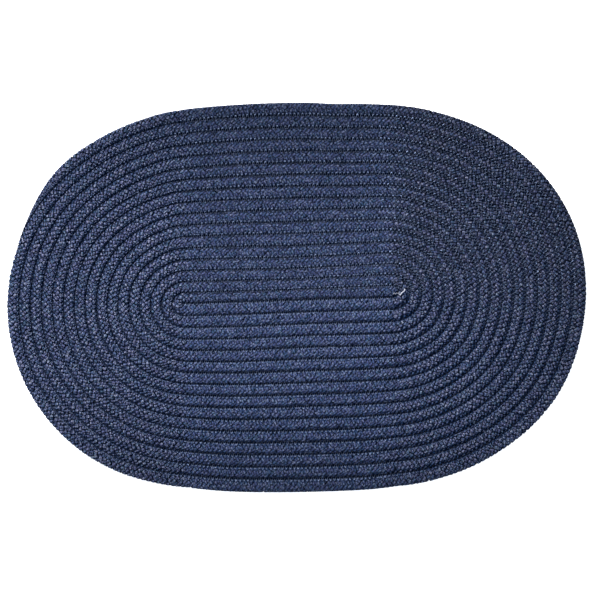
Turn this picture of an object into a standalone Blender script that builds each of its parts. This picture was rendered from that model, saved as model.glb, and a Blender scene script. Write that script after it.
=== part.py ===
"""A flat oval rug made of one long tubular braid.

The braid starts at the right turning centre, runs left along the middle, and winds outward in an elongated
spiral, counter-clockwise as seen from above. Each row is sewn edge to edge to the row inside it, so the rug is
one closed solid with a rib for each row and a groove along each seam. Both faces are ribbed, and the ribs of
the underside are pressed flat where they lie on the floor, at z = 0. The long side lies along X, and the
origin is under the middle of the outline.
"""

import math

import bmesh
import bpy
from mathutils import Vector

# Driving dimensions, in metres.
ROW_PITCH = 0.01847  # from one seam to the next
CENTRE_DISTANCE = 0.3305  # between the two turning centres, along X
THICKNESS = 0.010
WEB = 0.004  # the thickness that is left at a seam
RIB_SHOULDER = 0.0091  # height of a rib's shoulders

# Across a row, in pitches from the row's middle.
SHOULDER_AT = 0.30
FLAT_HALF_WIDTH = 0.30

# Steps of the mesh in each half circle and in each straight run.
TURN_STEPS = 18
RUN_STEPS = 4

# Places along the braid count quarters of a lap from its start: a run left, a turn, a run right and a turn.
LAP = 4
LAPS = 16
TAIL_STEPS = 7  # the steps of one more left turn in which the braid ends
END = LAP * LAPS + 1 + TAIL_STEPS / TURN_STEPS
TAPER = 0.2  # the stretch before the end in which the braid narrows

# How wide the rows lie around the rug, against ROW_PITCH. Quarter 0 is above the right turning centre, 1 above
# the left one, 2 below the left one and 3 below the right one.
SPREAD = (
    # quarter, ratio
    (0.00, 0.964),
    (0.10, 0.972),
    (0.25, 0.978),
    (0.37, 0.988),
    (0.50, 0.992),
    (0.66, 0.991),
    (0.83, 0.984),
    (1.00, 0.969),
    (1.07, 0.945),
    (1.18, 0.928),
    (1.36, 0.937),
    (1.50, 0.939),
    (1.64, 0.946),
    (1.86, 0.961),
    (1.94, 0.967),
    (2.03, 0.986),
    (2.20, 1.008),
    (2.45, 1.021),
    (2.70, 1.024),
    (2.87, 1.020),
    (3.00, 1.008),
    (3.08, 0.998),
    (3.18, 0.998),
    (3.31, 1.010),
    (3.42, 1.003),
    (3.58, 1.002),
    (3.67, 0.992),
    (3.80, 0.966),
    (3.89, 0.954),
    (3.96, 0.958),
)

NAVY = (0.030, 0.042, 0.080, 1.0)
YARN_ROUGHNESS = 0.9

LEFT_CENTRE = Vector((-CENTRE_DISTANCE / 2, -ROW_PITCH / 4))
RIGHT_CENTRE = Vector((CENTRE_DISTANCE / 2, ROW_PITCH / 4))
SEAM_TOP = (THICKNESS + WEB) / 2
SEAM_FOOT = (THICKNESS - WEB) / 2
SAME_POINT = 1e-6
SAME_PLACE = 1e-9
CREASE_ANGLE = math.radians(40)

# Across a row from its inner seam to its outer one: (pitches from the middle, height).
TOP_PROFILE = (
    (-0.5, SEAM_TOP),
    (-SHOULDER_AT, RIB_SHOULDER),
    (0.0, THICKNESS),
    (SHOULDER_AT, RIB_SHOULDER),
    (0.5, SEAM_TOP),
)
FOOT_PROFILE = (
    (-0.5, SEAM_FOOT),
    (-FLAT_HALF_WIDTH, 0.0),
    (FLAT_HALF_WIDTH, 0.0),
    (0.5, SEAM_FOOT),
)


def remove_all_objects():
    for old in list(bpy.data.objects):
        bpy.data.objects.remove(old, do_unlink=True)


def spread(quarter):
    """The ratio at a place, on a smooth closed curve through the table."""
    count = len(SPREAD)
    after = next((i for i, (at, _) in enumerate(SPREAD) if at > quarter), count)

    def knot(i):
        at, ratio = SPREAD[i % count]
        return at + LAP * (i // count), ratio

    (x0, y0), (x1, y1), (x2, y2), (x3, y3) = (knot(after + i) for i in (-2, -1, 0, 1))
    t = (quarter - x1) / (x2 - x1)
    rise = y2 - y1
    slope_1 = (y2 - y0) / (x2 - x0) * (x2 - x1)
    slope_2 = (y3 - y1) / (x3 - x1) * (x2 - x1)
    square = 3 * rise - 2 * slope_1 - slope_2
    cube = slope_1 + slope_2 - 2 * rise
    return y1 + t * (slope_1 + t * (square + t * cube))


def row_radius(place):
    """The radius of the braid's middle in pitches: it grows by half a pitch in a run and stays so in a turn."""
    turns = math.floor(place / 2)
    return 0.5 * (turns + min(place - 2 * turns, 1))


def centre_and_outward(quarter):
    """The point that a row's radius is measured from, and the direction in which it is."""
    side = int(quarter)
    part = quarter - side
    if side == 0:
        return RIGHT_CENTRE.lerp(LEFT_CENTRE, part), Vector((0, 1))
    if side == 2:
        return LEFT_CENTRE.lerp(RIGHT_CENTRE, part), Vector((0, -1))
    angle = math.pi * (part + (0.5 if side == 1 else -0.5))
    centre = LEFT_CENTRE if side == 1 else RIGHT_CENTRE
    return centre, Vector((math.cos(angle), math.sin(angle)))


def plan_point(place, across):
    """Where the braid lies in plan, `across` pitches outward from its middle."""
    quarter = place % LAP
    centre, outward = centre_and_outward(quarter)
    radius = row_radius(place) + across
    if radius < 0:  # the first run's lower half is spread as the row below it is
        quarter = 3 - quarter
    return centre + outward * (radius * ROW_PITCH * spread(quarter))


def fullness(place):
    """1 along the braid, falling to 0 at the tapered end."""
    t = min(max((place - END + TAPER) / TAPER, 0), 1)
    return 0.5 + 0.5 * math.cos(math.pi * t)


def stations():
    """The places where the braid is drawn, the same in every lap, so neighbouring rows share their points."""
    found = []
    for side in range(LAP * LAPS + 2):
        steps = TURN_STEPS if side % 2 else RUN_STEPS
        found += [side + step / steps for step in range(steps)]
    return [place for place in found if place < END + SAME_PLACE]


def section(mesh, place, profile):
    """One cross-section of the braid. At the tapered end it shrinks to its inner seam."""
    full = fullness(place)
    seam = profile[0][1]
    points = []
    for across, height in profile:
        at = plan_point(place, -0.5 + (across + 0.5) * full)
        points.append(mesh.verts.new((at.x, at.y, seam + (height - seam) * full)))
    return points


def skin(mesh, sections, upward):
    """Quads between neighbouring sections, facing up or down."""
    for here, there in zip(sections, sections[1:]):
        for i in range(len(here) - 1):
            corners = (here[i], here[i + 1], there[i + 1], there[i])
            mesh.faces.new(corners if upward else corners[::-1])


def round_start(mesh, profile, upward):
    """The start of the braid: half a disc about the right turning centre."""
    outer_half = [step for step in profile if step[0] >= 0]
    rays = []
    for step in range(TURN_STEPS + 1):
        part = step / TURN_STEPS
        angle = math.pi * (part - 0.5)
        outward = Vector((math.cos(angle), math.sin(angle)))
        pitch = ROW_PITCH * spread((3 + part) % LAP)
        ray = [RIGHT_CENTRE + outward * (across * pitch) for across, _ in outer_half]
        rays.append([mesh.verts.new((*at, height)) for at, (_, height) in zip(ray, outer_half)])
    skin(mesh, rays, upward)
    if outer_half[0][0] > 0:  # the flat of the underside has no middle line, so one face fills it
        flat = [ray[0] for ray in rays]
        mesh.faces.new(flat if upward else flat[::-1])


def rim(mesh, places):
    """The upright edge round the outline, between the outer seam lines of the two faces."""
    edges = []
    for place in places:
        if place < END - LAP - SAME_PLACE:
            continue
        at = plan_point(place, -0.5 + fullness(place))
        edges.append([mesh.verts.new((*at, height)) for height in (SEAM_TOP, SEAM_FOOT)])
    skin(mesh, edges, upward=True)


def centre_over_origin(mesh):
    xs = [vertex.co.x for vertex in mesh.verts]
    ys = [vertex.co.y for vertex in mesh.verts]
    middle = Vector(((min(xs) + max(xs)) / 2, (min(ys) + max(ys)) / 2, 0))
    bmesh.ops.translate(mesh, verts=mesh.verts, vec=-middle)


def yarn_material():
    material = bpy.data.materials.new("navy_yarn")
    material.use_nodes = True
    shader = material.node_tree.nodes["Principled BSDF"]
    shader.inputs["Base Color"].default_value = NAVY
    shader.inputs["Roughness"].default_value = YARN_ROUGHNESS
    shader.inputs["Metallic"].default_value = 0.0
    return material


def braided_rug():
    mesh = bmesh.new()
    places = stations()
    for profile, upward in ((TOP_PROFILE, True), (FOOT_PROFILE, False)):
        skin(mesh, [section(mesh, place, profile) for place in places], upward)
        round_start(mesh, profile, upward)
    rim(mesh, places)
    bmesh.ops.remove_doubles(mesh, verts=mesh.verts, dist=SAME_POINT)
    centre_over_origin(mesh)
    data = bpy.data.meshes.new("braided_rug")
    mesh.to_mesh(data)
    mesh.free()
    data.shade_smooth()
    data.set_sharp_from_angle(angle=CREASE_ANGLE)
    data.materials.append(yarn_material())
    rug = bpy.data.objects.new("braided_rug", data)
    bpy.context.scene.collection.objects.link(rug)


remove_all_objects()
braided_rug()
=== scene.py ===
"""The looks of the braided rug: one long tubular braid, wound in an elongated spiral and sewn edge to edge.

The braid is made of twelve carriers, each a pair of yarn ends, that cross over two and under two round a
flattened tube. Six wind one way and six the other. A dark core fills the tube, its near-black a painted
shade between the floats, and a light thread zigzags over each seam. Lengths are in metres.
"""

import math

import bmesh
import bpy
import numpy as np
from mathutils import Matrix, Vector


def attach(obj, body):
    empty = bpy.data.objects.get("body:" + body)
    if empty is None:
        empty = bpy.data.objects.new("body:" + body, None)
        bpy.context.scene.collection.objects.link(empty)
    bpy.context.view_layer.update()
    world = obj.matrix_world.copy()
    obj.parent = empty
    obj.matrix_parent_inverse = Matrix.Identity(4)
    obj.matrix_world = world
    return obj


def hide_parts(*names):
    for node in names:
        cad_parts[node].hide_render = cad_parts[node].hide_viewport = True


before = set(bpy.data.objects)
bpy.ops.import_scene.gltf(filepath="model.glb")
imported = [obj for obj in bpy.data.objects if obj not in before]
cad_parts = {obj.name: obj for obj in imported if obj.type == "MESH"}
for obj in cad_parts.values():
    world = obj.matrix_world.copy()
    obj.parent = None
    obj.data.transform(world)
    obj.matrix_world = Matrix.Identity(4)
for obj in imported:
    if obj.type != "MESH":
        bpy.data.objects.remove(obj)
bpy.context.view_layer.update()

NODE = "braided_rug"

# The spiral, as in the solid. Places along the braid count quarters of a lap from its start: a run left, a
# turn, a run right and a turn.
ROW_PITCH = 0.01847  # from one seam to the next
CENTRE_DISTANCE = 0.3305  # between the two turning centres, along X
THICKNESS = 0.010
LAP = 4
LAPS = 16
TAIL = 7 / 18  # the part of one more left turn in which the braid ends
END = LAP * LAPS + 1 + TAIL
TAPER = 0.2  # the stretch before the end in which the braid narrows
SPREAD = np.array([
    # quarter, how wide the rows lie there, against ROW_PITCH
    (0.00, 0.964),
    (0.10, 0.972),
    (0.25, 0.978),
    (0.37, 0.988),
    (0.50, 0.992),
    (0.66, 0.991),
    (0.83, 0.984),
    (1.00, 0.969),
    (1.07, 0.945),
    (1.18, 0.928),
    (1.36, 0.937),
    (1.50, 0.939),
    (1.64, 0.946),
    (1.86, 0.961),
    (1.94, 0.967),
    (2.03, 0.986),
    (2.20, 1.008),
    (2.45, 1.021),
    (2.70, 1.024),
    (2.87, 1.020),
    (3.00, 1.008),
    (3.08, 0.998),
    (3.18, 0.998),
    (3.31, 1.010),
    (3.42, 1.003),
    (3.58, 1.002),
    (3.67, 0.992),
    (3.80, 0.966),
    (3.89, 0.954),
    (3.96, 0.958),
])
LEFT_CENTRE = np.array((-CENTRE_DISTANCE / 2, -ROW_PITCH / 4))
RIGHT_CENTRE = np.array((CENTRE_DISTANCE / 2, ROW_PITCH / 4))
OUTLINE_SAMPLES = 4000  # points of the last lap, for the outline's box
LENGTH_SAMPLES = 60000  # points of the whole braid or seam, for its length

# How the woven rows lie off the solid's, in pitches. Both amounts set in over START_ROWS from the middle.
START_ROWS = 4
TIGHTENED = 0.13  # how far the rows inside the last lap are drawn in
TIGHTENED_OVER = 1.5  # rows from the outline over which that grows
SHIFTED_OVER = 5  # rows over which the inner rows' shift dies away
INNER_SHIFT = np.array([
    # quarter, how far outward the inner rows lie
    (0.00, 0.00),
    (0.25, -0.25),
    (0.50, -0.50),
    (0.75, -0.25),
    (1.00, 0.00),
    (1.50, 0.20),
    (2.00, 0.45),
    (2.25, 0.50),
    (2.60, 0.20),
    (3.00, 0.45),
    (3.25, 0.50),
    (3.60, 0.15),
    (4.00, 0.00),
])

# The turns' looks reach this many quarters from a turn's middle, and set in over this many.
TURN_REACH = 0.62
TURN_BLEND = 0.24

# The braid.
ENDS_EACH_WAY = 6  # carriers that wind one way
COLUMNS = 3  # floats of one carrier in each turn round the tube
FLOAT_PITCH = 0.0077  # from one float to the next along the rug's row
LEAD = ENDS_EACH_WAY * FLOAT_PITCH  # a carrier goes once round the tube in this length
CARRIER_HALF_WIDTH = 0.0024
CARRIER_HALF_THICKNESS = 0.0010
LIFT = 0.0011  # how far a carrier rises over, or sinks under, the tube's middle surface
BRAID_HALF_WIDTH = 0.0093  # a little over half a pitch, so neighbouring rows touch
TUBE_HALF_WIDTH = BRAID_HALF_WIDTH - LIFT - CARRIER_HALF_THICKNESS
TUBE_HALF_HEIGHT = THICKNESS / 2 - LIFT - CARRIER_HALF_THICKNESS
TUBE_SQUARENESS = 2.1  # 2 is an ellipse
SECTION_STEPS = 720  # of the tube's cross-section, all the way round
PRESSED = 1.15  # the underside would reach this much deeper, but lies pressed on the floor
FREE_SIDE = 1.14  # the outermost row bulges on its free side
RIM_BLEND = 0.1  # quarters over which that sets in
END_THICKNESS = 0.35  # how thick the braid still is at its two ends
FIRST_FLOAT = 0.42  # how far before the braid's start its first floats may lie, in pitches
LAST_FLOAT = 0.3  # how far before its end the last ones lie, in floats
SPARE_TURNS = 2  # turns of a carrier that are tried before the braid's start and past its end
RUN_FLATNESS = 0.52  # the power that squares the braid's section in the runs, against 1 in the turns
RUN_PLUMPNESS = 1.22  # how wide a carrier is, in the runs and in the turns
TURN_PLUMPNESS = 1.12
TURN_LEAN = 0.0016  # how far the crest leans inward in the turns
UNDERSIDE = (0.3, 0.7)  # the parts of the girth where the floats are plainer
WEAVE_STEPS = 24  # steps round the tube by which its columns of floats are placed
ROLL = 1 / WEAVE_STEPS  # how far the tube is rolled about its own length, in parts of its girth
ROLL_WAVES = (
    # length, size in parts of the girth, phase
    (0.9, 0.020, 0.4),
    (0.37, 0.016, 2.1),
    (2.3, 0.022, 4.4),
)

# How far the floats stand out.
BEAD_TOP = 0.0018  # the level over the tube's middle surface that the relief is measured down from
FLOAT_TOP = LIFT + 0.8 * CARRIER_HALF_THICKNESS  # about a float's highest point at full relief
SEAM_RELIEF = 1.0  # the relief at the tube's sides, where it makes the seams jagged
EDGE_RELIEF = 0.35  # the relief on the rug's free edge, against that on the row's top
SIDE_FROM = 0.7  # half widths from the row's middle where the sides begin
SIDE_OVER = 0.3

# How far each float differs from an even braid.
ALONG_JITTER = 0.0005
ROUND_JITTER = 0.007  # in parts of the girth
WIDTH_JITTER = 0.10
LIFT_JITTER = 0.25
# The shade painted toward the seams differs from float to float by this share.
PAINTED_SHADE_JITTER = 0.4

# Measures that change around the rug, and their columns.
RELIEF, PAINTED_INNER_SHADE, PAINTED_OUTER_SHADE, INNER_AT, OUTER_AT, PAINTED_SEAM_LIGHT, PAINTED_ROW_LIGHT, PAINTED_LIGHT = range(1, 9)
AROUND = np.array([
    # quarter, relief of the floats, painted shade at a row's inner side and at its outer side, where each
    # begins in half widths from the row's middle, painted light of the thread in the seam and on the rows,
    # the yarn's painted light level
    (0.00, 0.24, 0.66, 0.30, 0.50, 0.50, 0.30, 1.00, 1.02),
    (0.90, 0.24, 0.66, 0.34, 0.50, 0.50, 0.30, 1.00, 1.06),
    (1.10, 1.15, 0.52, 0.50, 0.55, 0.50, 0.36, 0.90, 1.56),
    (1.50, 1.15, 0.50, 0.40, 0.55, 0.50, 0.34, 0.80, 1.56),
    (1.90, 1.15, 0.62, 0.30, 0.50, 0.50, 0.24, 0.80, 1.40),
    (2.10, 0.24, 0.72, 0.44, 0.35, 0.36, 0.28, 0.90, 1.18),
    (2.90, 0.24, 0.76, 0.52, 0.35, 0.34, 0.24, 0.90, 1.20),
    (3.10, 1.15, 0.85, 0.66, 0.45, 0.36, 0.12, 0.50, 1.43),
    (3.40, 1.05, 0.80, 0.62, 0.45, 0.42, 0.14, 0.60, 1.30),
    (3.60, 0.75, 0.55, 0.32, 0.50, 0.50, 0.28, 0.70, 0.97),
    (3.90, 0.65, 0.52, 0.30, 0.50, 0.50, 0.28, 0.70, 0.93),
    (4.00, 0.24, 0.66, 0.30, 0.50, 0.50, 0.30, 1.00, 1.02),
])
PAINTED_SHADE_OVER = 0.45  # half widths over which the painted shade grows
RIM_PAINTED_SHADE = 0.6  # how much weaker the painted seam shade is on the rug's free edge
RUN_DIVE_SHADE = 0.12  # the power by which a float is painted darker, as painted shade, where it dives, in the runs
TURN_DIVE_SHADE = 0.98  # what the turns add to it
INNER_PAINTED_SEAMS = 0.7  # how much weaker the seams' painted shade is in the runs of the inner rows
INNER_LAPS = 8  # laps over which that dies away
INNER_REACH = 1.3  # where it has ended, in parts of INNER_LAPS

# In one part of each lap the seams show raised loops, painted light.
LOOPS_FROM = 3.35  # past this quarter, until the next lap's LOOPS_UNTIL
LOOPS_UNTIL = 0.15
LOOPS_BLEND = 0.2
LIT_FLOATS = {1: 1.3, -1: 0.84}  # painted light there: the floats that wind right are painted lighter, and those that wind left darker

# Painted falloff of light: the yarn is painted darker toward the rug's long edges and its right end.
HALF_SIZE = (0.457, 0.307)
PAINTED_EDGE_FALLOFF = (0.42, 0.06, 0.44)  # how much darker it is painted at the right end, the left end and the long edges
END_POWER = 3.5
LONG_EDGE_POWER = 3

rng = np.random.default_rng(11)


# The spiral's plan


def spread(quarter):
    """How wide the rows lie at a quarter of the lap, on a smooth closed curve through the table."""
    at, ratio = SPREAD.T
    at = np.concatenate([at[-2:] - LAP, at, at[:2] + LAP])
    ratio = np.concatenate([ratio[-2:], ratio, ratio[:2]])
    slope = np.gradient(ratio, at)
    slope[1:-1] = (ratio[2:] - ratio[:-2]) / (at[2:] - at[:-2])
    i = np.searchsorted(at, quarter, side="right")
    step = at[i] - at[i - 1]
    t = (quarter - at[i - 1]) / step
    rise = ratio[i] - ratio[i - 1]
    slope_1, slope_2 = slope[i - 1] * step, slope[i] * step
    square = 3 * rise - 2 * slope_1 - slope_2
    cube = slope_1 + slope_2 - 2 * rise
    return ratio[i - 1] + t * (slope_1 + t * (square + t * cube))


def fullness(place):
    """1 along the braid, falling to 0 at the tapered end."""
    t = np.clip((place - END + TAPER) / TAPER, 0, 1)
    return 0.5 + 0.5 * np.cos(math.pi * t)


def row_radius(place):
    """The radius of the braid's middle in pitches: it grows by half a pitch in a run and stays in a turn."""
    turns = np.floor(place / 2)
    return 0.5 * (turns + np.minimum(place - 2 * turns, 1))


def centre_and_outward(quarter):
    """The point that a row's radius is measured from, and the direction in which it is."""
    side = np.floor(quarter)
    part = quarter - side
    sides = [side == 0, side == 1, side == 2]
    from_left = np.select(sides, [1 - part, 0 * part, part], 1)
    centre = LEFT_CENTRE + from_left[..., None] * (RIGHT_CENTRE - LEFT_CENTRE)
    angle = math.pi * np.select(sides, [0.5 + 0 * part, part + 0.5, 1.5], part - 0.5)
    return centre, np.stack([np.cos(angle), np.sin(angle)], axis=-1)


def off_even(radius, place, quarter):
    """How far outward a point lies off the even spiral, in pitches."""
    last = END - (END - place) % LAP
    outline = row_radius(last) - 0.5 + fullness(last)
    inside = np.maximum(outline - radius, 0)
    shift = np.interp(quarter, *INNER_SHIFT.T) * np.exp(-np.abs(radius) / SHIFTED_OVER)
    shift = shift - TIGHTENED * (1 - np.exp(-inside / TIGHTENED_OVER))
    return shift * np.clip(radius / START_ROWS, -1, 1)


def spiral(place, across):
    """Where the braid lies: a place in quarters of a lap, and pitches outward from its middle."""
    place, across = np.broadcast_arrays(np.asarray(place, float), np.asarray(across, float))
    quarter = place % LAP
    centre, outward = centre_and_outward(quarter)
    radius = row_radius(place) + across
    below = (np.floor(quarter) % 2 == 0) & (radius < 0)  # the first run's lower half lies as the row below it
    quarter = np.where(below, 3 - quarter, quarter)
    radius = radius + off_even(radius, place, quarter)
    return centre + outward * (radius * ROW_PITCH * spread(quarter))[..., None]


def outline_middle():
    """The middle of the outline's box."""
    places = np.linspace(END - LAP, END, OUTLINE_SAMPLES)
    outline = spiral(places, fullness(places) - 0.5)
    return (outline.min(axis=0) + outline.max(axis=0)) / 2


def lengths_along(line):
    """How far along a line each of its points is."""
    return np.concatenate([[0], np.cumsum(np.linalg.norm(np.diff(line, axis=0), axis=1))])


MIDDLE = outline_middle()


def plan(place, across):
    """Where the braid lies in plan, from the middle of its outline."""
    return spiral(place, across) - MIDDLE


PLACES = np.linspace(0, END, LENGTH_SAMPLES)
LENGTHS = lengths_along(plan(PLACES, 0))
BRAID_LENGTH = LENGTHS[-1]


def place_at(along):
    """The place at a distance along the braid from its start."""
    return np.interp(along, LENGTHS, PLACES)


# What changes from place to place


def in_turn(place):
    """1 in the turns and 0 in the runs. It rises smoothly into a turn, and drops at the turn's end."""
    part = np.abs((place % 2) - 1.5)
    t = np.clip((TURN_REACH - part) / TURN_BLEND, 0, 1)
    return t * t * (3 - 2 * t)


def on_rim(place):
    """1 along the outermost row and 0 inside it."""
    return np.clip((place - END + LAP) / RIM_BLEND, 0, 1)


def looped(place):
    """1 in the part of each lap where the seams show loops painted light, and 0 elsewhere."""
    quarter = place % LAP
    after = np.clip((quarter - LOOPS_FROM) / LOOPS_BLEND, 0, 1)
    return after + np.clip((LOOPS_UNTIL - quarter) / LOOPS_BLEND, 0, 1)


def weaker_painted_seams(place):
    """How much weaker the seams' painted shade is: more in the inner rows, and not at all in the turns."""
    return INNER_PAINTED_SEAMS * (1 - in_turn(place)) * np.clip(INNER_REACH - place / (LAP * INNER_LAPS), 0, 1)


def around(place, column):
    """A column of the table of measures that change around the rug."""
    return np.interp(place % LAP, AROUND[:, 0], AROUND[:, column])


def tone(xy):
    """How light the yarn is painted at a point of the plan: a falloff of light toward the edges."""
    x, y = xy[..., 0] / HALF_SIZE[0], xy[..., 1] / HALF_SIZE[1]
    right, left, long_edge = PAINTED_EDGE_FALLOFF
    ends = 1 - np.where(x > 0, right, left) * np.abs(x) ** END_POWER
    return ends * (1 - long_edge * np.abs(y) ** LONG_EDGE_POWER)


def relief(place, beside):
    """How far the floats stand out, by place and by half widths from the row's middle."""
    on_top = around(place, RELIEF)
    at_side = SEAM_RELIEF + (EDGE_RELIEF * on_top - SEAM_RELIEF) * on_rim(place) * (beside > 0)
    return on_top + (at_side - on_top) * np.clip((np.abs(beside) - SIDE_FROM) / SIDE_OVER, 0, 1)


def roll(along):
    """How far the tube is rolled about its own length, in parts of its girth."""
    waves = (size * np.sin(2 * math.pi * along / length + phase) for length, size, phase in ROLL_WAVES)
    return ROLL + sum(waves)


# Points of the rug


def on_braid(along, sideways, height):
    """Points from the braid's own measures: along it, outward from its middle and above the floor."""
    place = place_at(along)
    full = fullness(place)
    sideways = sideways * np.where(sideways > 0, 1 + (FREE_SIDE - 1) * on_rim(place), 1)
    start = np.sqrt(np.clip(1 - (np.minimum(along, 0) / (ROW_PITCH / 2)) ** 2, 0, 1))
    across = sideways / ROW_PITCH * start
    xy = plan(place, -0.5 + (across + 0.5) * full)
    xy[..., 0] += np.maximum(-along, 0)
    middle = THICKNESS / 2
    z = height - middle
    for amount in (full, start):
        z = z * (END_THICKNESS + (1 - END_THICKNESS) * amount)
    return np.concatenate([xy, (middle + z)[..., None]], axis=-1)


def tube_section():
    """The tube's girth, and its cross-section from the crest round by the outer side, with its normals."""
    angle = np.linspace(0, 2 * math.pi, 4 * SECTION_STEPS + 1)
    power = 2 / TUBE_SQUARENESS
    sin, cos = np.sin(angle), np.cos(angle)
    x = TUBE_HALF_WIDTH * np.sign(sin) * np.abs(sin) ** power
    z = TUBE_HALF_HEIGHT * np.sign(cos) * np.abs(cos) ** power
    length = np.concatenate([[0], np.cumsum(np.hypot(np.diff(x), np.diff(z)))])
    girth = length[-1]
    part = np.linspace(0, 1, SECTION_STEPS + 1)
    x = np.interp(part * girth, length, x)
    z = np.interp(part * girth, length, z)
    dx, dz = np.gradient(np.stack([x, z]), axis=1)
    dx[[0, -1]] = 1
    dz[[0, -1]] = 0
    size = np.hypot(dx, dz)
    return girth, part, (x, z, -dz / size, dx / size)


GIRTH, SECTION_PARTS, SECTION = tube_section()
CARRIER_ANGLE = math.atan2(GIRTH / ENDS_EACH_WAY, FLOAT_PITCH)  # between a carrier and the braid


def half_widths(round_it):
    """How far outward a part of the girth lies, in half widths of the tube."""
    return np.interp(round_it % 1, SECTION_PARTS, SECTION[0]) / TUBE_HALF_WIDTH


def on_tube(along, round_it, out):
    """Points by the tube: along it, round it in parts of its girth, and out from its middle surface."""
    place = place_at(along)
    turn = in_turn(place)
    x, z, normal_x, normal_z = (np.interp(round_it % 1, SECTION_PARTS, values) for values in SECTION)
    out = BEAD_TOP + (out - BEAD_TOP) * relief(place, half_widths(round_it))
    flatness = RUN_FLATNESS + (1 - RUN_FLATNESS) * turn
    z = z / TUBE_HALF_HEIGHT
    z = TUBE_HALF_HEIGHT * np.sign(z) * np.abs(z) ** flatness
    sideways = x + out * normal_x - TURN_LEAN * turn * np.maximum(z, 0) / TUBE_HALF_HEIGHT
    z = z + out * normal_z
    z = np.where(z < 0, PRESSED * z, z)
    return on_braid(along, sideways, np.maximum(THICKNESS / 2 + z, 0))


# Meshes


def add_piece(name, mesh, material):
    """A smooth piece of the rug's body."""
    mesh.shade_smooth()
    mesh.materials.append(material)
    piece = bpy.data.objects.new(name, mesh)
    bpy.context.scene.collection.objects.link(piece)
    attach(piece, "root")
    return piece


def array_piece(name, points, faces, values, material):
    """A piece from arrays: points, a list of face arrays, and a value at each point for each name."""
    mesh = bpy.data.meshes.new(name)
    corners = np.concatenate([face.ravel() for face in faces]).astype(np.int32)
    sizes = np.concatenate([np.full(len(face), face.shape[1]) for face in faces])
    starts = (np.cumsum(sizes) - sizes).astype(np.int32)
    mesh.vertices.add(len(points))
    mesh.vertices.foreach_set("co", points.astype(np.float32).ravel())
    mesh.loops.add(len(corners))
    mesh.loops.foreach_set("vertex_index", corners)
    mesh.polygons.add(len(starts))
    mesh.polygons.foreach_set("loop_start", starts)
    mesh.update(calc_edges=True)
    for key, value in values.items():
        mesh.attributes.new(key, "FLOAT", "POINT").data.foreach_set("value", value.astype(np.float32))
    return add_piece(name, mesh, material)


def joined(parts):
    """The points, faces and values of several parts as one."""
    points, faces = [], []
    start = 0
    for here, found, _ in parts:
        points.append(here)
        faces += [face + start for face in found]
        start += len(here)
    values = {key: np.concatenate([part[2][key] for part in parts]) for key in parts[0][2]}
    return np.concatenate(points), faces, values


def bead_faces(count, rings, sides):
    """The faces of many closed beads, each of a point, some rings and a point."""
    per_bead = rings * sides + 2
    side = np.arange(sides)
    after = (side + 1) % sides
    tip, tail = 0, per_bead - 1
    first, last = 1, 1 + (rings - 1) * sides
    triangles = [
        np.stack([np.full(sides, tip), first + after, first + side], axis=1),
        np.stack([np.full(sides, tail), last + side, last + after], axis=1),
    ]
    ring = (1 + sides * np.arange(rings - 1))[:, None]
    quads = np.stack([ring + side, ring + after, ring + sides + after, ring + sides + side], axis=-1)
    shift = (per_bead * np.arange(count))[:, None, None]
    triangles = (np.concatenate(triangles)[None] + shift).reshape(-1, 3)
    quads = (quads.reshape(-1, 4)[None] + shift).reshape(-1, 4)
    return [triangles, quads]


def tube(line, radius, sides):
    """Points, quads and values of a tube along a line. The radius may change along it."""
    radius = np.reshape(radius, (-1, 1, 1))
    ahead = np.gradient(line, axis=0)
    ahead /= np.linalg.norm(ahead, axis=1)[:, None]
    side = np.cross(ahead, (0, 0, 1.0))
    side /= np.linalg.norm(side, axis=1)[:, None]
    up = np.cross(side, ahead)
    angle = 2 * math.pi * np.arange(sides) / sides + math.pi / 2
    ring = np.cos(angle)[:, None] * side[:, None] + np.sin(angle)[:, None] * up[:, None]
    points = line[:, None] + radius * ring
    first = sides * np.arange(len(line) - 1)[:, None]
    here = np.arange(sides)
    after = (here + 1) % sides
    quads = np.stack([first + here, first + sides + here, first + sides + after, first + after], axis=-1)
    values = {
        "along": np.repeat(lengths_along(line), sides),
        "across": np.tile(np.arange(sides) / sides, len(line)),
    }
    return points.reshape(-1, 3), quads.reshape(-1, 4), values


# The carriers

# A float from end to end: its ends dive under the carriers that cross it.
FULL_FLOAT = np.array([
    # along, lift, width, thickness
    (-0.70, -1.10, 0.00, 0.00),
    (-0.44, -0.20, 0.74, 0.75),
    (-0.17, 0.95, 1.00, 1.00),
    (0.17, 0.95, 1.00, 1.00),
    (0.44, -0.20, 0.74, 0.75),
    (0.70, -1.10, 0.00, 0.00),
])
PLAIN_FLOAT = np.array([
    # along, lift, width, thickness
    (-0.74, -1.00, 0.00, 0.00),
    (-0.34, 0.75, 1.00, 1.00),
    (0.34, 0.75, 1.00, 1.00),
    (0.74, -1.00, 0.00, 0.00),
])
# Round a carrier, with the face that shows first: (across, out).
FULL_RING = np.array([(-1.0, -0.3), (-0.5, 0.8), (0.0, 0.66), (0.5, 0.8), (1.0, -0.3), (0.0, -0.8)])
PLAIN_RING = np.array([(-1.0, 0.0), (0.0, 1.0), (1.0, 0.0), (0.0, -0.7)])
YARN_BETWEEN = 3.1  # the yarn between one carrier's dye and the next one's


def column_middle(way, column):
    """Where a column of floats lies round the tube, in parts of its girth. The ways' columns alternate."""
    return (3 - 2 * way + WEAVE_STEPS // COLUMNS * column) / WEAVE_STEPS


def float_centres(way, number, column):
    """How far along the braid the middles of one carrier's floats lie, in one column."""
    first = way * (column_middle(way, column) - number / ENDS_EACH_WAY) * LEAD
    turns = np.arange(-SPARE_TURNS, int(BRAID_LENGTH / LEAD) + SPARE_TURNS)
    centre = first + turns * LEAD
    after_start = centre > -FIRST_FLOAT * ROW_PITCH
    before_end = centre < BRAID_LENGTH - LAST_FLOAT * FLOAT_PITCH
    return centre[after_start & before_end]


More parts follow.
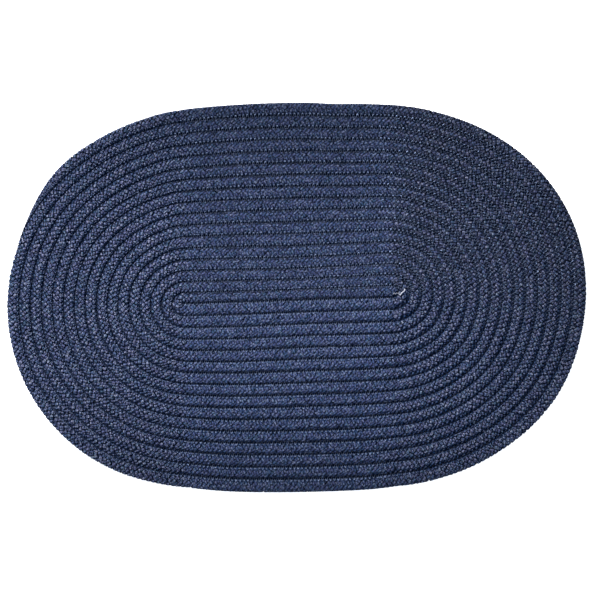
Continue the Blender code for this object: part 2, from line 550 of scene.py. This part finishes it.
def painted_seam_shade(place, beside, jitter):
    """How much painted shade darkens the yarn toward the seam beside it."""
    outer = around(place, PAINTED_OUTER_SHADE) * (1 - RIM_PAINTED_SHADE * on_rim(place))
    shade = np.where(beside < 0, around(place, PAINTED_INNER_SHADE), outer)
    shade = np.clip(shade * (1 + PAINTED_SHADE_JITTER * jitter), 0, 1) * (1 - weaker_painted_seams(place))
    begins = np.where(beside < 0, around(place, INNER_AT), around(place, OUTER_AT))
    depth = np.clip((np.abs(beside) - begins) / PAINTED_SHADE_OVER, 0, 1)
    return shade * depth ** (1 + in_turn(place))


def bead_values(values):
    """Values by bead, step and ring point as rows, with only one value at each of a bead's tips."""
    rings = values[:, 1:-1].reshape(len(values), -1, *values.shape[3:])
    return np.concatenate([values[:, 0, :1], rings, values[:, -1, :1]], axis=1)


def floats(way, number, column, shape, ring):
    """One carrier's floats in one column of the braid: points, faces, and values at the points."""
    centre = float_centres(way, number, column)
    jitter = rng.normal(size=(5, len(centre), 1, 1))
    centre = centre[:, None, None] + ALONG_JITTER * jitter[0]
    centre_round = column_middle(way, column) + ROUND_JITTER * jitter[1]
    place = place_at(centre)
    turn = in_turn(place)
    plumpness = RUN_PLUMPNESS + (TURN_PLUMPNESS - RUN_PLUMPNESS) * turn
    half_width = CARRIER_HALF_WIDTH * (1 + WIDTH_JITTER * jitter[2]) * plumpness
    lift = LIFT * (1 + LIFT_JITTER * jitter[3])

    step, rise, width, thick = (shape[None, :, None, i] for i in range(4))
    across, out = (ring[None, None, :, i] for i in range(2))
    sin, cos = math.sin(CARRIER_ANGLE), math.cos(CARRIER_ANGLE)
    yarn = number + (ENDS_EACH_WAY if way > 0 else 0)
    sideways = across * width * half_width
    along = centre + step * FLOAT_PITCH - way * sideways * sin
    round_it = centre_round + way * step / ENDS_EACH_WAY + sideways * cos / GIRTH + roll(centre)
    outward = lift * rise + out * thick * CARRIER_HALF_THICKNESS
    points = on_tube(along, round_it, outward)

    # Painted shade: a float is painted darker where it dives under the carriers that cross it.
    painted_dive_light = np.clip(0.5 + 0.5 * outward / FLOAT_TOP, 0, 1) ** (RUN_DIVE_SHADE + TURN_DIVE_SHADE * turn)
    # Painted light level: the falloff over the plan, times a level for each part of the lap.
    painted_light_here = tone(plan(place, 0)) * around(place, PAINTED_LIGHT)
    values = {
        "along": centre / cos + step * FLOAT_PITCH / cos + YARN_BETWEEN * yarn,
        "across": across * (width > 0),
        # Painted shade where the float dives and toward the seams; the yarn is mixed to deep blue by it.
        "open": painted_dive_light * (1 - painted_seam_shade(place, half_widths(round_it), jitter[4])),
        "turn": turn,
        # Painted light: in the loops the floats are painted lighter or darker by the way they wind.
        "tone": painted_light_here * (1 + (LIT_FLOATS[way] - 1) * looped(place)),
    }
    faces = bead_faces(len(centre), len(shape) - 2, len(ring))
    grid = points.shape[:3]
    values = {key: bead_values(np.broadcast_to(value, grid)).ravel() for key, value in values.items()}
    return bead_values(points).reshape(-1, 3), faces, values


def carrier(way, number, material):
    """One carrier: all its floats round the tube, the plainer ones on the underside."""
    parts = []
    for column in range(COLUMNS):
        middle = (column_middle(way, column) + ROLL) % 1
        plain = UNDERSIDE[0] < middle < UNDERSIDE[1]
        shape, ring = (PLAIN_FLOAT, PLAIN_RING) if plain else (FULL_FLOAT, FULL_RING)
        parts.append(floats(way, number, column, shape, ring))
    name = f"carrier_{'right' if way > 0 else 'left'}_{number + 1}"
    return array_piece(name, *joined(parts), material)


# Materials


class Graph:
    """Short calls that add nodes to a material and link them."""

    def __init__(self, name):
        self.material = bpy.data.materials.new(name)
        self.material.use_nodes = True
        self.tree = self.material.node_tree
        self.shader = self.tree.nodes["Principled BSDF"]

    def put(self, socket, value):
        if isinstance(value, bpy.types.NodeSocket):
            self.tree.links.new(value, socket)
        else:
            socket.default_value = value

    def node(self, kind, inputs=(), **settings):
        made = self.tree.nodes.new(kind)
        for key, value in settings.items():
            setattr(made, key, value)
        for key, value in dict(inputs).items():
            self.put(made.inputs[key], value)
        return made

    def math(self, operation, *values):
        inputs = dict(enumerate(values))
        return self.node("ShaderNodeMath", inputs, operation=operation).outputs[0]

    def add(self, first, second):
        return self.math("ADD", first, second)

    def times(self, first, second):
        return self.math("MULTIPLY", first, second)

    def minus(self, first, second):
        return self.math("SUBTRACT", first, second)

    def value(self, name):
        return self.node("ShaderNodeAttribute", attribute_name=name).outputs["Fac"]

    def vector(self, x=0.0, y=0.0, z=0.0):
        return self.node("ShaderNodeCombineXYZ", {"X": x, "Y": y, "Z": z}).outputs[0]

    def wave(self, along, length, across, slant):
        """A sine along the yarn, with this many radians more for each unit across it."""
        angle = self.add(self.times(along, 2 * math.pi / length), self.times(across, slant))
        return self.math("SINE", angle)

    def noise(self, vector, scale, detail=2.0):
        inputs = {"Vector": vector, "Scale": scale, "Detail": detail, "Roughness": 0.5}
        return self.node("ShaderNodeTexNoise", inputs).outputs["Fac"]

    def ramp(self, factor, *stops):
        made = self.node("ShaderNodeValToRGB", {"Fac": factor})
        elements = made.color_ramp.elements
        while len(elements) < len(stops):
            elements.new(0.5)
        for element, (at, colour) in zip(elements, stops):
            element.position = at
            element.color = (*colour, 1)
        return made.outputs["Color"]

    def mix(self, factor, first, second):
        """A mix of two colours, which are the node's inputs 6 and 7 and its output 2."""
        inputs = {"Factor": factor, 6: first, 7: second}
        return self.node("ShaderNodeMix", inputs, data_type="RGBA").outputs[2]

    def scaled(self, colour, factor):
        inputs = {0: colour, "Scale": factor}
        return self.node("ShaderNodeVectorMath", inputs, operation="SCALE").outputs[0]

    def tinted(self, colour, tint):
        return self.node("ShaderNodeVectorMath", {0: colour, 1: tint}, operation="MULTIPLY").outputs[0]

    def bump(self, height, distance, strength=1.0):
        inputs = {"Height": height, "Distance": distance, "Strength": strength}
        self.put(self.shader.inputs["Normal"], self.node("ShaderNodeBump", inputs).outputs[0])

    def finish(self, colour, roughness, **fixed):
        self.put(self.shader.inputs["Base Color"], colour)
        self.put(self.shader.inputs["Roughness"], roughness)
        for key, value in fixed.items():
            self.shader.inputs[key.replace("_", " ")].default_value = value
        return self.material


MATT = 0.9

# The yarn's colours.
# The painted shade: the yarn is mixed to this deep blue where it is painted shaded.
PAINTED_SHADE_NAVY = (0.003, 0.012, 0.044, 1)
PALE = (0.104, 0.118, 0.158, 1)
DYE = (
    # dye noise, colour
    (0.30, (0.0234, 0.0469, 0.0983)),
    (0.45, (0.0278, 0.0438, 0.1091)),
    (0.58, (0.0351, 0.0423, 0.1074)),
    (0.72, (0.0248, 0.0393, 0.0884)),
)
DYES = 22.0  # changes of dye in a metre of yarn
DYE_BETWEEN = 4.37  # the step in the dye noise between the two ends
# Painted light: the runs and the turns are tinted apart, as the light and shade on them differ.
RUN_PAINTED_TINT = (1.06, 1.04, 0.97, 1)
TURN_PAINTED_TINT = (1.27, 1.12, 0.91, 1)
YARN_SHEEN = (0.6, 0.75, 1.0, 1)

# The yarn's relief: the lobes of the two ends, their twist and their fibres.
TWIST = 0.0026  # one turn of a yarn end
TWIST_SLANT = 5.0
FIBRES = 900.0  # changes of fibre in a metre of yarn
FIBRES_ACROSS = 7.0
LOBE_RISE = 0.8
TWIST_RISE = 0.30
FIBRE_RISE = 0.5
YARN_RELIEF = 0.0005
RELIEF_SHARE = 0.8

# The yarn's grain: specks and fibres that are lighter and darker, and slant stripes of painted shade along
# the plies' twist.
SPECK = 0.0018  # the length of a speck of one shade along the yarn
SPECKS_ACROSS = 1.5
PALE_FROM = 0.6  # specks of a greater value than this are paler
PALE_TIMES = 1.3  # how fast they grow paler above it
RUN_GRAIN = 1.1  # how far the specks differ, in the runs and in the turns
TURN_GRAIN = 1.2
PLY = 0.0045  # the length of one slant stripe along the yarn
PLY_PAINTED_SHADE = 0.6
FIBRE_SHADE = 0.6
BASE_SHADE = 0.7
DARKEST_SHADE = 0.12
LOBE_MIDDLE = 0.64
RUN_PAINTED_RIDGE = 0.25  # how much lighter the lobes' crests are painted, a painted light, in the runs, and what the turns add to it
TURN_PAINTED_RIDGE = 0.35
PAINTED_RIDGE_BASE = 0.94
YARN_ROUGHNESS = 0.7
FIBRE_ROUGHNESS = 0.2


def yarn_colour(g, along, across, speck):
    """Navy, different from stretch to stretch, paler in some specks, and mixed to deep blue as painted shade
    where the floats dive and toward the seams.
    """
    side = g.times(g.math("SIGN", across), DYE_BETWEEN)
    lit = g.ramp(g.noise(g.vector(g.times(along, DYES), side), 1.0), *DYE)
    paler = g.times(g.math("MAXIMUM", g.minus(speck, PALE_FROM), 0.0), PALE_TIMES)
    return g.mix(g.value("open"), PAINTED_SHADE_NAVY, g.mix(paler, lit, PALE))


def yarn_shade(g, along, across, speck, fibres, lobe):
    """How light the yarn is from its grain, from painted shade in slant stripes and painted light on its
    lobes' crests, and from the painted light level of its place in the rug.
    """
    turn = g.value("turn")
    grain = g.minus(RUN_GRAIN, g.times(turn, RUN_GRAIN - TURN_GRAIN))
    # Painted shade: slant stripes along the plies' twist.
    painted_twist_stripes = g.times(g.wave(along, PLY, across, 1.0), PLY_PAINTED_SHADE)
    shade = g.add(g.times(g.minus(speck, 0.5), grain), painted_twist_stripes)
    shade = g.add(shade, g.times(fibres, FIBRE_SHADE))
    shade = g.math("MAXIMUM", g.add(shade, BASE_SHADE), DARKEST_SHADE)
    # Painted light: the lobes' crests are painted lighter, and their middle and edges darker.
    painted_ridge = g.times(g.minus(lobe, LOBE_MIDDLE), g.add(g.times(turn, TURN_PAINTED_RIDGE), RUN_PAINTED_RIDGE))
    # Times the painted light level of the place.
    return g.times(g.times(shade, g.add(painted_ridge, PAINTED_RIDGE_BASE)), g.value("tone"))


def yarn_material():
    """Matt navy yarn: two twisted ends side by side, with specks of lighter and darker dye."""
    g = Graph("navy_yarn")
    along, across = g.value("along"), g.value("across")
    lobe = g.math("ABSOLUTE", g.math("SINE", g.times(across, math.pi)))
    twist = g.wave(along, TWIST, across, TWIST_SLANT)
    fibres = g.noise(g.vector(g.times(along, FIBRES), g.times(across, FIBRES_ACROSS)), 1.0, 3.0)
    height = g.add(g.times(lobe, LOBE_RISE), g.times(twist, TWIST_RISE))
    g.bump(g.add(height, g.times(fibres, FIBRE_RISE)), YARN_RELIEF, RELIEF_SHARE)

    cell_along = g.math("FLOOR", g.math("DIVIDE", along, SPECK))
    cell_across = g.math("FLOOR", g.times(across, SPECKS_ACROSS))
    cell = {"Vector": g.vector(cell_along, cell_across)}
    speck = g.node("ShaderNodeTexWhiteNoise", cell, noise_dimensions="2D").outputs["Value"]
    shade = yarn_shade(g, along, across, speck, fibres, lobe)
    colour = g.scaled(yarn_colour(g, along, across, speck), shade)
    # Painted light: the runs and the turns are tinted apart.
    colour = g.tinted(colour, g.mix(g.value("turn"), RUN_PAINTED_TINT, TURN_PAINTED_TINT))
    rough = g.add(g.times(fibres, FIBRE_ROUGHNESS), YARN_ROUGHNESS)
    return g.finish(colour, rough, Specular_IOR_Level=0.1, Specular_Tint=YARN_SHEEN)


CORE_GRAIN = 900.0
CORE_RELIEF = 0.0004
# Near-black: the shade between the floats, painted.
CORE_PAINTED_SHADE_COLOURS = ((0.3, (0.002, 0.007, 0.024)), (0.7, (0.006, 0.014, 0.042)))


def core_material():
    """The inside of the braid, seen only between the floats, coloured near-black as painted shade."""
    g = Graph("dark_core")
    grain = g.noise(g.node("ShaderNodeTexCoord").outputs["Object"], CORE_GRAIN, 3.0)
    g.bump(grain, CORE_RELIEF)
    return g.finish(g.ramp(grain, *CORE_PAINTED_SHADE_COLOURS), MATT, Specular_IOR_Level=0.1)


THREAD_TWIST = 0.0011  # one turn of the thread's plies
THREAD_SLANT = 6.0
THREAD_RELIEF = 0.00015
THREAD_DYES = 60.0  # changes of colour in a metre of thread
# Painted shade along the thread's twist.
THREAD_TWIST_PAINTED_SHADE = 0.12
THREAD_ROUGHNESS = 0.6
THREAD_COLOURS = ((0.21, 0.29, 0.50), (0.48, 0.59, 0.90))
WHITE_COLOURS = ((0.26, 0.26, 0.30), (0.36, 0.36, 0.40))


def thread_material(name, low, high):
    """Sewing thread, twisted from fine plies, painted darker along the twist, and lightened or darkened by
    each point's value: painted light and shade on the stitches, plain lightness on the frayed thread.
    """
    g = Graph(name)
    along = g.value("along")
    twist = g.wave(along, THREAD_TWIST, g.value("across"), THREAD_SLANT)
    g.bump(twist, THREAD_RELIEF)
    colour = g.ramp(g.noise(g.vector(g.times(along, THREAD_DYES)), 1.0), (0.35, low), (0.65, high))
    shade = g.times(g.add(g.times(twist, THREAD_TWIST_PAINTED_SHADE), 1 - THREAD_TWIST_PAINTED_SHADE), g.value("open"))
    return g.finish(g.scaled(colour, shade), THREAD_ROUGHNESS, Specular_IOR_Level=0.2)


# The core, a ribbed slab that fills the braid

CORE_TOP = (
    # pitches from the row's middle, height
    (-0.5, 0.0052),
    (-0.36, 0.0062),
    (0.0, 0.0070),
    (0.36, 0.0062),
    (0.5, 0.0052),
)
CORE_FOOT = tuple((across, THICKNESS - height) for across, height in CORE_TOP)
CORE_MIDDLE = 2  # the profile's point on the row's middle
CORE_TURN_STEPS = 30
CORE_RUN_STEPS = 8
CORE_INSET = 0.07  # how far the core stays inside the rug's outline, in pitches
SAME_PLACE = 1e-9
SAME_POINT = 1e-6


def core_places():
    """The places where the core is drawn, the same in every lap, so neighbouring rows share their points."""
    places = []
    for side in range(LAP * LAPS + 2):
        steps = CORE_TURN_STEPS if side % 2 else CORE_RUN_STEPS
        places += [side + step / steps for step in range(steps)]
    return [place for place in places if place < END - SAME_PLACE] + [END]


def core_inset(place):
    """How far the core stays inside a row's outer seam, in pitches."""
    return CORE_INSET if place > END - LAP else 0.0


def core_section(mesh, place, profile):
    """One cross-section of the core. At the tapered end it shrinks to its inner seam."""
    full = float(fullness(place))
    seam = profile[0][1]
    points = []
    for across, height in profile:
        at = plan(place, -0.5 + (min(across, 0.5 - core_inset(place)) + 0.5) * full)
        points.append(mesh.verts.new((*at, seam + (height - seam) * full)))
    return points


def core_ray(mesh, place, profile):
    """A ray of the half disc about the right turning centre in which the core starts."""
    outer_half = profile[CORE_MIDDLE:]
    return [mesh.verts.new((*plan(place, across), height)) for across, height in outer_half]


def core_edge(mesh, place):
    """The upright edge of the core between its two faces, at a place on the outline."""
    at = plan(place, -0.5 + (1 - core_inset(place)) * float(fullness(place)))
    return [mesh.verts.new((*at, height)) for height in (CORE_TOP[0][1], CORE_FOOT[0][1])]


def skin(mesh, sections, upward):
    """Quads between neighbouring sections, facing up or down."""
    for here, there in zip(sections, sections[1:]):
        for i in range(len(here) - 1):
            corners = (here[i], here[i + 1], there[i + 1], there[i])
            mesh.faces.new(corners if upward else corners[::-1])


def core(material):
    """The core, one closed slab with a rib for each row on both faces. It stands for the whole solid."""
    mesh = bmesh.new()
    places = core_places()
    before_start = [step / CORE_TURN_STEPS - 1 for step in range(CORE_TURN_STEPS + 1)]
    for profile, upward in ((CORE_TOP, True), (CORE_FOOT, False)):
        skin(mesh, [core_section(mesh, place, profile) for place in places], upward)
        skin(mesh, [core_ray(mesh, place, profile) for place in before_start], upward)
    on_outline = [place for place in places if place > END - LAP - SAME_PLACE]
    skin(mesh, [core_edge(mesh, place) for place in on_outline], upward=True)
    bmesh.ops.remove_doubles(mesh, verts=mesh.verts, dist=SAME_POINT)
    data = bpy.data.meshes.new("braid_core")
    mesh.to_mesh(data)
    mesh.free()
    piece = add_piece("braid_core", data, material)
    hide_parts(NODE)
    return piece


# The sewing thread

ZIGZAG = 0.0062  # from one stitch to the next on the same side
FOOT_ZIGZAG = 0.0124
SEAM_FROM = 2  # the place where the seam starts
SEAM_UNTIL = END - 0.02
THREAD_RADIUS = 0.0005
THREAD_SIDES = 3
STITCH = np.array([
    # along in zigzags, across in metres, height, how light it is painted: lit on one side, shaded on the
    # other and dark in the seam
    (-0.09, -0.0025, 0.0096, 0.35),
    (0.09, -0.0025, 0.0096, 0.35),
    (0.25, 0.0000, 0.0064, 0.00),
    (0.41, 0.0029, 0.0099, 0.85),
    (0.59, 0.0029, 0.0099, 0.85),
    (0.75, 0.0000, 0.0064, 0.00),
])
FOOT_STITCH = np.array([
    # along in zigzags, across in metres, depth, how light it is painted, darker in the seam
    (0.00, -0.0025, 0.0098, 1.0),
    (0.25, 0.0000, 0.0062, 0.3),
    (0.50, 0.0025, 0.0098, 1.0),
    (0.75, 0.0000, 0.0062, 0.3),
])
STITCH_WIDTH_JITTER = 0.12
STITCH_SIDE_JITTER = 0.0002
STITCH_HEIGHT_JITTER = 0.0003
STITCH_LIGHT_JITTER = 0.35
LIGHTEST_STITCH = 1.7
PAINTED_LOOP_LIGHT = 1.8  # how much lighter every second stitch in the loops is painted, against the others
PAINTED_SHADED_SIDE = 0.12  # how light a stitch is painted on its shaded side, where no loops show
WEAK_SEAM_PAINTED_LIGHT = 0.3  # how much lighter the thread in a seam is painted where the seams' painted shade is weaker
TURN_DRAWN_IN = 0.8  # the stitches in the turns are narrower, and lie deeper
TURN_SINK = 0.0022


def painted_stitch_light(place, light, second, on_shaded, jitter):
    """How light the thread is painted, as light and shade: each stitch as its table says, and in the seam as
    the place says.
    """
    loops = looped(place)
    light = light * np.clip(1 + STITCH_LIGHT_JITTER * jitter, 0, LIGHTEST_STITCH)
    light = light * (1 + (PAINTED_LOOP_LIGHT - 1) * loops * second)
    light = np.where(on_shaded, light * (PAINTED_SHADED_SIDE + (1 - PAINTED_SHADED_SIDE) * loops), light)
    painted_in_seam = around(place, PAINTED_SEAM_LIGHT) + WEAK_SEAM_PAINTED_LIGHT * weaker_painted_seams(place)
    return np.where(light > 0, light * around(place, PAINTED_ROW_LIGHT), painted_in_seam)


def seam_thread(name, material, stitches, zigzag, above):
    """The thread that zigzags over the whole seam, on the top or on the underside."""
    places = np.linspace(SEAM_FROM, SEAM_UNTIL, LENGTH_SAMPLES)
    lengths = lengths_along(plan(places, -0.5))
    count = int(lengths[-1] / zigzag)
    at = ((np.arange(count)[:, None] + stitches[:, 0]) * zigzag).ravel()
    across, height, light = (np.tile(column, count) for column in stitches.T[1:])
    place = np.interp(at, lengths, places)
    turn = in_turn(place)
    wander = rng.normal(size=(4, len(place)))
    across = across * (1 + STITCH_WIDTH_JITTER * wander[0]) * (1 + (TURN_DRAWN_IN - 1) * turn)
    across = across + STITCH_SIDE_JITTER * wander[1]
    height = height + STITCH_HEIGHT_JITTER * wander[2] - TURN_SINK * turn * (1 - looped(place))
    if not above:
        height = np.maximum(THICKNESS - height, THREAD_RADIUS)
    line = np.column_stack([plan(place, -0.5 + across / ROW_PITCH), height])
    points, quads, values = tube(line, THREAD_RADIUS, THREAD_SIDES)
    second = np.repeat(np.arange(count) % 2, len(stitches))
    # Painted light and shade on the stitches: lit on one side, shaded on the other and dark in the seam.
    light = painted_stitch_light(place, light, second, across < 0, wander[3])
    values["open"] = np.repeat(light, THREAD_SIDES)
    return array_piece(name, points, [quads], values, material)


# The frayed ends

FRAYED = (
    # radius, how light, and points in plan
    (0.0011, 2.0, (
        (0.1704, 0.0081),
        (0.1708, 0.0051),
        (0.1675, 0.0026),
        (0.1650, 0.0005),
        (0.1633, -0.0026),
    )),
    (0.0007, 1.9, (
        (0.1608, 0.0022),
        (0.1618, 0.0000),
        (0.1627, -0.0022),
    )),
    (0.0004, 1.6, (
        (0.1515, -0.0006),
        (0.1543, 0.0024),
        (0.1555, -0.0003),
        (0.1579, 0.0023),
        (0.1600, -0.0003),
    )),
    (0.0007, 2.0, (
        (-0.4293, 0.1070),
        (-0.4286, 0.1056),
        (-0.4278, 0.1041),
    )),
)
FRAYED_HEIGHT = 0.0104
FRAYED_WAVE = 0.0002  # how far it rises and falls, and how fast
FRAYED_WAVES = 2.3
FRAYED_STEPS = 5  # for each point of the table
FRAYED_SIDES = 6
ROUND_END = 8  # the power by which the thread rounds off at its ends
THINNEST = 0.01  # the least of the square of its radius, against the full one


def frayed_thread(material):
    """The loose white thread where the braid starts, and a speck of it where the braid ends."""
    parts = []
    for radius, light, corners in FRAYED:
        numbers = np.arange(len(corners))
        at = np.linspace(0, numbers[-1], FRAYED_STEPS * len(corners))
        line = np.column_stack([np.interp(at, numbers, values) for values in zip(*corners)])
        line[1:-1] = (line[:-2] + line[1:-1] + line[2:]) / 3
        line = np.column_stack([line, FRAYED_HEIGHT + FRAYED_WAVE * np.sin(FRAYED_WAVES * at)])
        from_middle = np.abs(2 * at / at[-1] - 1)
        thick = radius * np.sqrt(np.clip(1 - from_middle ** ROUND_END, THINNEST, 1))
        points, quads, values = tube(line, thick, FRAYED_SIDES)
        parts.append((points, [quads], values | {"open": np.full(len(points), light)}))
    return array_piece("frayed_thread", *joined(parts), material)


# The stage

PIXEL = 0.001579  # the size of the photograph's pixel on the rug
PICTURE = 600  # pixels on each side
ORIGIN_PIXEL = (296.1, 296.8)  # where the rug's origin is in the picture
CAMERA_ROLL = math.radians(1.85)
LENS = 100.0
SENSOR = 36.0
FLOOR_HALF_SIZE = 60
FLOOR_DEPTH = 0.0003  # how far the floor lies below the rug
FLOOR_GRAIN = 40.0
FLOOR_COLOURS = ((0.3, (0.90, 0.90, 0.90)), (0.7, (0.93, 0.93, 0.93)))
WHITE = (1, 1, 1, 1)
SKY = (0.42, 0.67, 1.0, 1)
SKY_STRENGTH = 0.42
SUN = (1.0, 0.97, 0.94)
SUN_ENERGY = 6.8
SUN_SIZE = math.radians(12)
TO_SUN = Vector((-0.56, 0.83, 0.72))


def camera():
    """A camera straight above the rug that shows it as the photograph does."""
    data = bpy.data.cameras.new("camera")
    data.lens = LENS
    data.sensor_width = SENSOR
    eye = bpy.data.objects.new("camera", data)
    middle = (PICTURE - 1) / 2
    aim = Vector(((middle - ORIGIN_PIXEL[0]) * PIXEL, (ORIGIN_PIXEL[1] - middle) * PIXEL, 0))
    aim.rotate(Matrix.Rotation(-CAMERA_ROLL, 3, "Z"))
    distance = PICTURE * PIXEL * LENS / SENSOR
    eye.location = (aim.x, aim.y, THICKNESS / 2 + distance)
    eye.rotation_euler = (0, 0, -CAMERA_ROLL)
    bpy.context.scene.collection.objects.link(eye)
    bpy.context.scene.camera = eye


def floor():
    """A floor that is lit to white, as in the photograph."""
    mesh = bmesh.new()
    bmesh.ops.create_grid(mesh, x_segments=1, y_segments=1, size=FLOOR_HALF_SIZE)
    data = bpy.data.meshes.new("floor")
    mesh.to_mesh(data)
    mesh.free()
    g = Graph("pale_floor")
    grain = g.noise(g.node("ShaderNodeTexCoord").outputs["Object"], FLOOR_GRAIN)
    colour = g.ramp(grain, *FLOOR_COLOURS)
    data.materials.append(g.finish(colour, MATT, Emission_Color=WHITE, Emission_Strength=1.0))
    plane = bpy.data.objects.new("floor", data)
    plane.location.z = -FLOOR_DEPTH
    bpy.context.scene.collection.objects.link(plane)


def light():
    """A bluish sky, and a soft sun low in the upper left."""
    scene = bpy.context.scene
    scene.world = bpy.data.worlds.new("studio")
    scene.world.use_nodes = True
    background = scene.world.node_tree.nodes["Background"]
    background.inputs["Color"].default_value = SKY
    background.inputs["Strength"].default_value = SKY_STRENGTH
    data = bpy.data.lights.new("key", "SUN")
    data.energy = SUN_ENERGY
    data.color = SUN
    data.angle = SUN_SIZE
    key = bpy.data.objects.new("key", data)
    key.rotation_euler = TO_SUN.to_track_quat("Z", "Y").to_euler()
    key.location = TO_SUN * 3
    scene.collection.objects.link(key)
    scene.view_settings.view_transform = "Standard"


def rug():
    """All pieces of the rug, which lies on the floor."""
    yarn = yarn_material()
    carriers = [carrier(way, number, yarn) for way in (1, -1) for number in range(ENDS_EACH_WAY)]
    thread = thread_material("sewing_thread", *THREAD_COLOURS)
    seams = [
        seam_thread("seam_thread_top", thread, STITCH, ZIGZAG, above=True),
        seam_thread("seam_thread_foot", thread, FOOT_STITCH, FOOT_ZIGZAG, above=False),
        frayed_thread(thread_material("white_thread", *WHITE_COLOURS)),
    ]
    slab = core(core_material())


rug()
floor()
light()
camera()
